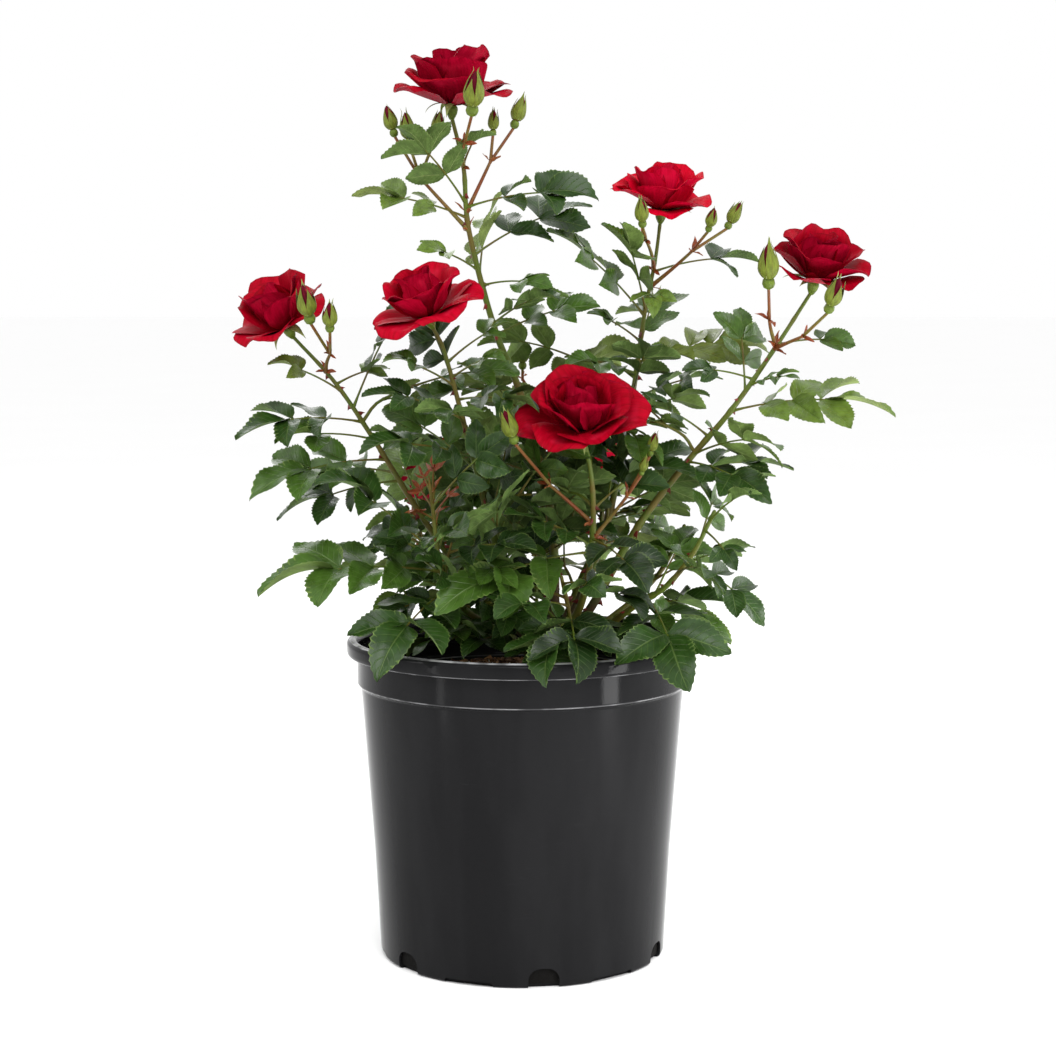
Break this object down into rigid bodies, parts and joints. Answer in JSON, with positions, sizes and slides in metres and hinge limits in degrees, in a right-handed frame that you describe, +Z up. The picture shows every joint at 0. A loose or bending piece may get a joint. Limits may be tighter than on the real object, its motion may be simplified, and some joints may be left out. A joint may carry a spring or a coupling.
{
  "type": "rose bush",
  "caption": "Young shrub rose with arching leafy canes, buds and open red blooms, growing in a tapered black plastic nursery pot.",
  "frame": {"origin": "centre of the pot's flat underside, where the part stands", "axes": "+Z up along the pot's axis, -Y towards the front, +X to the right seen from the front"},
  "size_m": [0.5164, 0.3829, 0.7203],
  "materials": {
    "pot": "moulded black polypropylene, satin gloss with soft vertical highlights",
    "potting_mix": "moist bark and peat mix",
    "bark": "grey-brown woody crown with fissured bark",
    "canes": "smooth green cane with red prickles",
    "foliage": "glossy dark green leaf with a paler underside",
    "petals": "velvety red petal"
  },
  "bodies": {
    "root": {"pot": "pot", "potting_mix": "potting_mix", "crown": "bark", "bough_tall": "canes", "foliage_tall": "foliage", "bloom_tall": "petals", "bough_mid_left": "canes", "foliage_mid_left": "foliage", "bloom_mid_left": "petals", "bough_far_left": "canes", "foliage_far_left": "foliage", "bloom_far_left": "petals", "bough_front": "canes", "foliage_front": "foliage", "bloom_front": "petals", "bough_upper_right": "canes", "foliage_upper_right": "foliage", "bloom_upper_right": "petals", "bough_far_right": "canes", "foliage_far_right": "foliage", "bloom_far_right": "petals", "bough_low_right": "canes", "foliage_low_right": "foliage", "bough_low_left": "canes", "foliage_low_left": "foliage", "bough_low_front": "canes", "foliage_low_front": "foliage", "bough_back_left": "canes", "foliage_back_left": "foliage", "bloom_back_left": "petals", "bough_back_mid": "canes", "foliage_back_mid": "foliage", "bough_back_right": "canes", "foliage_back_right": "foliage", "bloom_back_right": "petals", "bough_low_back_left": "canes", "foliage_low_back_left": "foliage", "bough_low_back_right": "canes", "foliage_low_back_right": "foliage"}
  },
  "joints": []
}
